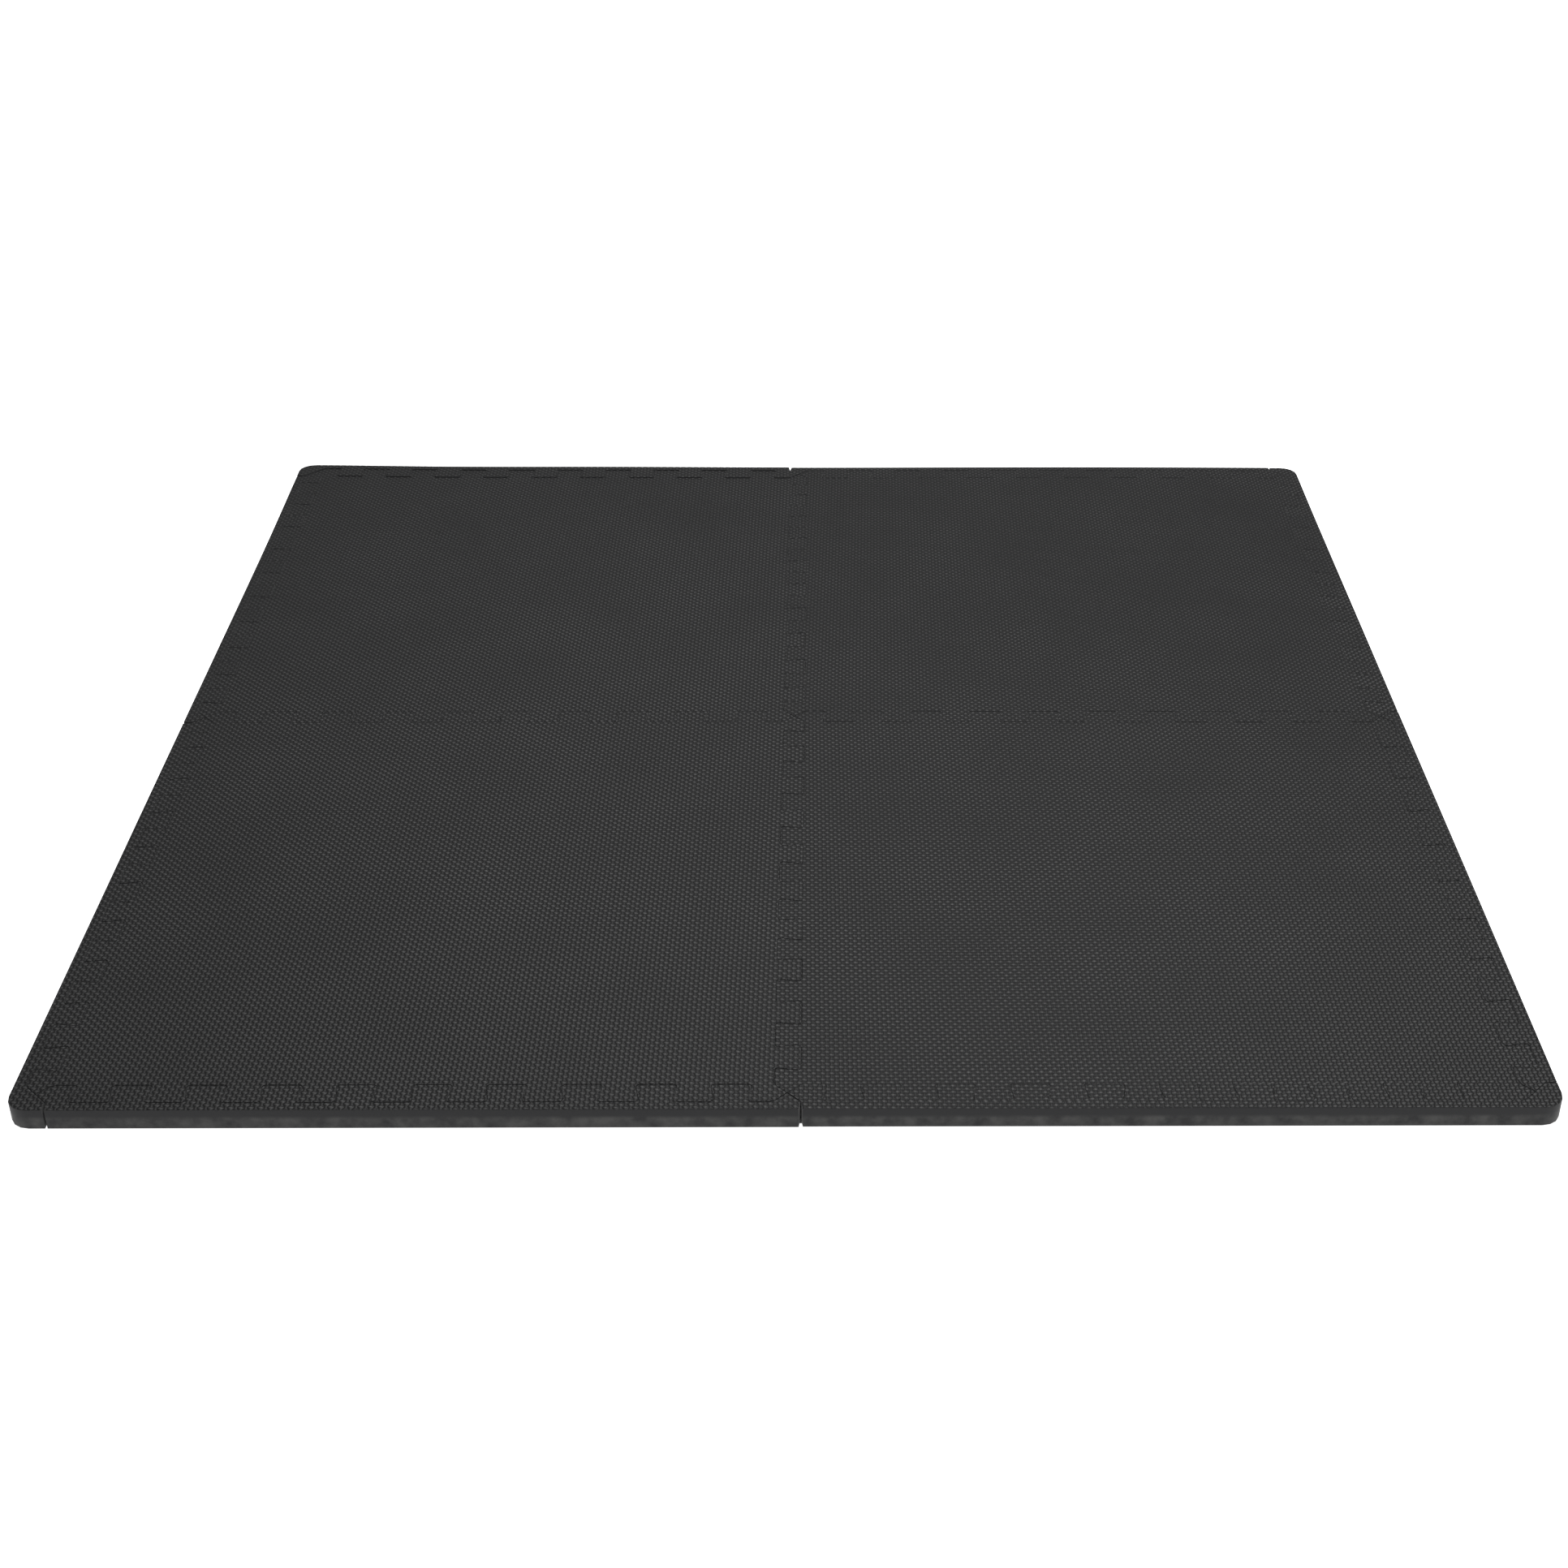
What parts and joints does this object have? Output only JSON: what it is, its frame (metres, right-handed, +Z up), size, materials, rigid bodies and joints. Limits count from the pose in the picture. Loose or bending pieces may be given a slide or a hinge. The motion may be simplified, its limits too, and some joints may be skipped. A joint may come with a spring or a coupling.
{
  "type": "interlocking foam floor mat",
  "caption": "Square interlocking foam floor mat: puzzle tiles with dovetail tabs on every side and straight-edged border strips.",
  "frame": {"origin": "on the floor, under the middle of the mat", "axes": "+X to the right and +Y away from someone standing at the front edge, +Z up out of the walking surface"},
  "size_m": [1.2606, 1.2606, 0.019],
  "materials": {
    "tile_foam": "black closed-cell EVA foam with a dull woven emboss on the upper face",
    "border_foam": "black closed-cell EVA foam with a dull woven emboss on the upper face and plain die-cut edges"
  },
  "bodies": {
    "front_left_tile": {"tile_front_left": "tile_foam"},
    "front_right_tile": {"tile_front_right": "tile_foam"},
    "back_left_tile": {"tile_back_left": "tile_foam"},
    "back_right_tile": {"tile_back_right": "tile_foam"},
    "front_straight_strip": {"border_front_straight": "border_foam"},
    "left_corner_strip": {"border_left_corner": "border_foam"},
    "front_corner_strip": {"border_front_corner": "border_foam"},
    "right_straight_strip": {"border_right_straight": "border_foam"},
    "right_corner_strip": {"border_right_corner": "border_foam"},
    "back_straight_strip": {"border_back_straight": "border_foam"},
    "back_corner_strip": {"border_back_corner": "border_foam"},
    "left_straight_strip": {"border_left_straight": "border_foam"}
  },
  "joints": [
    {"name": "front_right_tile_lift", "type": "slide", "parent": "front_left_tile", "child": "front_right_tile", "axis": [0, 0, 1], "range_m": [0, 0.04]},
    {"name": "back_left_tile_lift", "type": "slide", "parent": "front_left_tile", "child": "back_left_tile", "axis": [0, 0, 1], "range_m": [0, 0.04]},
    {"name": "back_right_tile_lift", "type": "slide", "parent": "front_left_tile", "child": "back_right_tile", "axis": [0, 0, 1], "range_m": [0, 0.04]},
    {"name": "front_straight_strip_lift", "type": "slide", "parent": "front_left_tile", "child": "front_straight_strip", "axis": [0, 0, 1], "range_m": [0, 0.04]},
    {"name": "left_corner_strip_lift", "type": "slide", "parent": "front_left_tile", "child": "left_corner_strip", "axis": [0, 0, 1], "range_m": [0, 0.04]},
    {"name": "front_corner_strip_lift", "type": "slide", "parent": "front_right_tile", "child": "front_corner_strip", "axis": [0, 0, 1], "range_m": [0, 0.04]},
    {"name": "right_straight_strip_lift", "type": "slide", "parent": "front_right_tile", "child": "right_straight_strip", "axis": [0, 0, 1], "range_m": [0, 0.04]},
    {"name": "right_corner_strip_lift", "type": "slide", "parent": "back_right_tile", "child": "right_corner_strip", "axis": [0, 0, 1], "range_m": [0, 0.04]},
    {"name": "back_straight_strip_lift", "type": "slide", "parent": "back_right_tile", "child": "back_straight_strip", "axis": [0, 0, 1], "range_m": [0, 0.04]},
    {"name": "back_corner_strip_lift", "type": "slide", "parent": "back_left_tile", "child": "back_corner_strip", "axis": [0, 0, 1], "range_m": [0, 0.04]},
    {"name": "left_straight_strip_lift", "type": "slide", "parent": "back_left_tile", "child": "left_straight_strip", "axis": [0, 0, 1], "range_m": [0, 0.04]}
  ]
}
